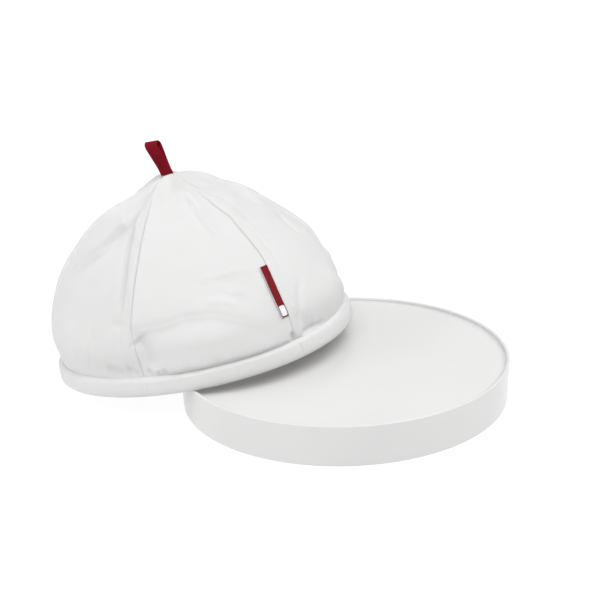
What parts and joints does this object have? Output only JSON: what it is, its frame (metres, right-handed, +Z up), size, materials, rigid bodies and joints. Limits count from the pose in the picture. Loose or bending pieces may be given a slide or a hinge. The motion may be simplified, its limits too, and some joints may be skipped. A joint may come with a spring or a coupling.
{
  "type": "tray with fabric cloche",
  "caption": "Round glazed tray with a shallow dish, and a gored cloth cloche with wired hem, seam ribs and a lifting loop, leaning with its hem on the tray rim.",
  "frame": {"origin": "middle of the floor plan of the tray and the leaning cloche, on the surface they stand on", "axes": "+Z up out of the tray's dish, +X to the right along the longest side, +Y away from the front"},
  "size_m": [0.4526, 0.3886, 0.2406],
  "materials": {
    "glaze": "glossy white glaze",
    "outer_cloth": "plain-weave cotton, off-white, lightly crumpled",
    "lining_cloth": "plain-weave cotton lining",
    "rib_plastic": "matte boning strip",
    "hoop_steel": "drawn spring wire",
    "webbing": "dark crimson ribbed webbing",
    "label_cloth": "crimson woven label with a plain white block"
  },
  "bodies": {
    "tray": {"tray": "glaze"},
    "cloche": {"gore_1": "outer_cloth", "gore_2": "outer_cloth", "gore_3": "outer_cloth", "gore_4": "outer_cloth", "gore_5": "outer_cloth", "gore_6": "outer_cloth", "lining_1": "lining_cloth", "lining_2": "lining_cloth", "lining_3": "lining_cloth", "lining_4": "lining_cloth", "lining_5": "lining_cloth", "lining_6": "lining_cloth", "seam_rib_1": "rib_plastic", "seam_rib_2": "rib_plastic", "seam_rib_3": "rib_plastic", "seam_rib_4": "rib_plastic", "seam_rib_5": "rib_plastic", "seam_rib_6": "rib_plastic", "hem_casing": "outer_cloth", "hem_hoop": "hoop_steel", "crown_patch": "outer_cloth"},
    "loop": {"handle_loop": "webbing"},
    "label": {"side_label": "label_cloth"}
  },
  "joints": [
    {"name": "cloche_lift", "type": "slide", "parent": "tray", "child": "cloche", "axis": [0, 0, 1], "range_m": [0, 0.24]},
    {"name": "loop_swing", "type": "hinge", "parent": "cloche", "child": "loop", "pos_m": [-0.10077, 0.04533, 0.20755], "axis": [-0.9706, 0.1658, -0.1746], "range_deg": [-45, 45], "stiffness_Nm_per_rad": 0.01},
    {"name": "label_flip", "type": "hinge", "parent": "cloche", "child": "label", "pos_m": [0.00822, -0.06333, 0.12222], "axis": [-0.4226, 0.3267, 0.8454], "range_deg": [0, 120], "stiffness_Nm_per_rad": 0.0002}
  ]
}
